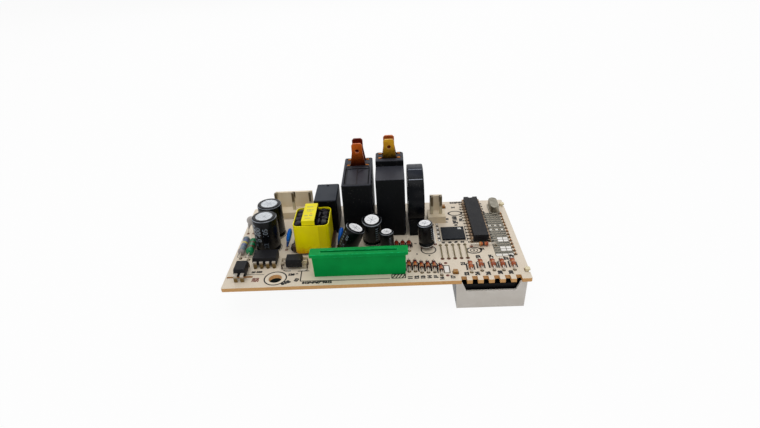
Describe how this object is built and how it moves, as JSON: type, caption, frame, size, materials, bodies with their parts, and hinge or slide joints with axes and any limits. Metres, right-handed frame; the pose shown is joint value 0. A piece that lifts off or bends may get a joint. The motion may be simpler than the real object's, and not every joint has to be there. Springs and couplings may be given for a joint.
{
  "type": "microwave control board",
  "caption": "Microwave oven control board with power relays, pin headers, buzzer, transformer, chips and a display clipped beneath one end.",
  "frame": {"origin": "centre of the mounting hole in the board's component face", "axes": "+X along the board's long side towards the display end, +Y towards the relay side, +Z out of the component face"},
  "size_m": [0.1186, 0.0631, 0.0519],
  "materials": {
    "board": "satin solder-resist over a tan laminate",
    "white_plastic": "satin moulding",
    "display_black": "dark face",
    "tinned": "bright tin plate",
    "relay_black": "satin moulding",
    "small_relay_black": "satin moulding",
    "buzzer_black": "satin moulding",
    "copper_tab": "plain, slightly tarnished",
    "brass_tab": "plain, slightly tarnished",
    "transformer_black": "matt",
    "yellow_tape": "glossy tape",
    "former_brown": "matt",
    "connector_green": "satin moulding",
    "header_cream": "satin moulding",
    "chip_black": "matt moulding",
    "slate_chip": "matt moulding",
    "crystal_can": "satin metal",
    "capacitor_can": "satin",
    "capacitor_sleeve": "glossy shrunk sleeve",
    "disc_blue": "glossy dip",
    "disc_grey": "glossy dip",
    "glass_orange": "glass over a metal slug",
    "resistor_body": "glossy lacquer",
    "resistor_grey": "glossy lacquer",
    "choke_green": "glossy lacquer"
  },
  "bodies": {
    "root": {"axial_leads": "tinned", "back_row_diodes": "glass_orange", "banded_choke": "choke_green", "blue_disc_capacitors": "disc_blue", "buzzer_case": "buzzer_black", "buzzer_stand": "buzzer_black", "circuit_board": "board", "controller_chip_body": "chip_black", "controller_chip_leads": "tinned", "cross_diode": "glass_orange", "crystal": "crystal_can", "disc_capacitor_leads": "tinned", "display_holder": "white_plastic", "display_module": "display_black", "display_pins": "tinned", "front_row_diodes": "glass_orange", "grey_disc_capacitor": "disc_grey", "jumper_wires": "tinned", "lamp_header_housing": "header_cream", "lamp_header_pins": "tinned", "mains_capacitor_1_can": "capacitor_can", "mains_capacitor_1_sleeve": "capacitor_sleeve", "mains_capacitor_2_can": "capacitor_can", "mains_capacitor_2_sleeve": "capacitor_sleeve", "mains_header_housing": "header_cream", "mains_header_pins": "tinned", "optocoupler_1_body": "chip_black", "optocoupler_2_body": "chip_black", "optocoupler_leads": "tinned", "output_capacitor_1_can": "capacitor_can", "output_capacitor_1_sleeve": "capacitor_sleeve", "output_capacitor_2_can": "capacitor_can", "output_capacitor_2_sleeve": "capacitor_sleeve", "output_capacitor_3_can": "capacitor_can", "output_capacitor_3_sleeve": "capacitor_sleeve", "output_capacitor_4_can": "capacitor_can", "output_capacitor_4_sleeve": "capacitor_sleeve", "output_capacitor_leads": "tinned", "power_resistor": "resistor_grey", "relay_1_base": "relay_black", "relay_1_case": "relay_black", "relay_1_front_terminal": "copper_tab", "relay_1_rear_terminal": "copper_tab", "relay_2_base": "relay_black", "relay_2_case": "relay_black", "relay_2_front_terminal": "brass_tab", "relay_2_rear_terminal": "brass_tab", "ribbon_connector_contacts": "tinned", "ribbon_connector_housing": "connector_green", "right_row_resistors": "resistor_body", "small_relay_base": "small_relay_black", "small_relay_case": "small_relay_black", "square_chip": "slate_chip", "supply_chip_body": "chip_black", "supply_chip_leads": "tinned", "transformer_bobbin": "former_brown", "transformer_core": "transformer_black", "transformer_pins": "tinned", "transformer_strap": "yellow_tape", "transformer_tape": "yellow_tape"}
  },
  "joints": []
}
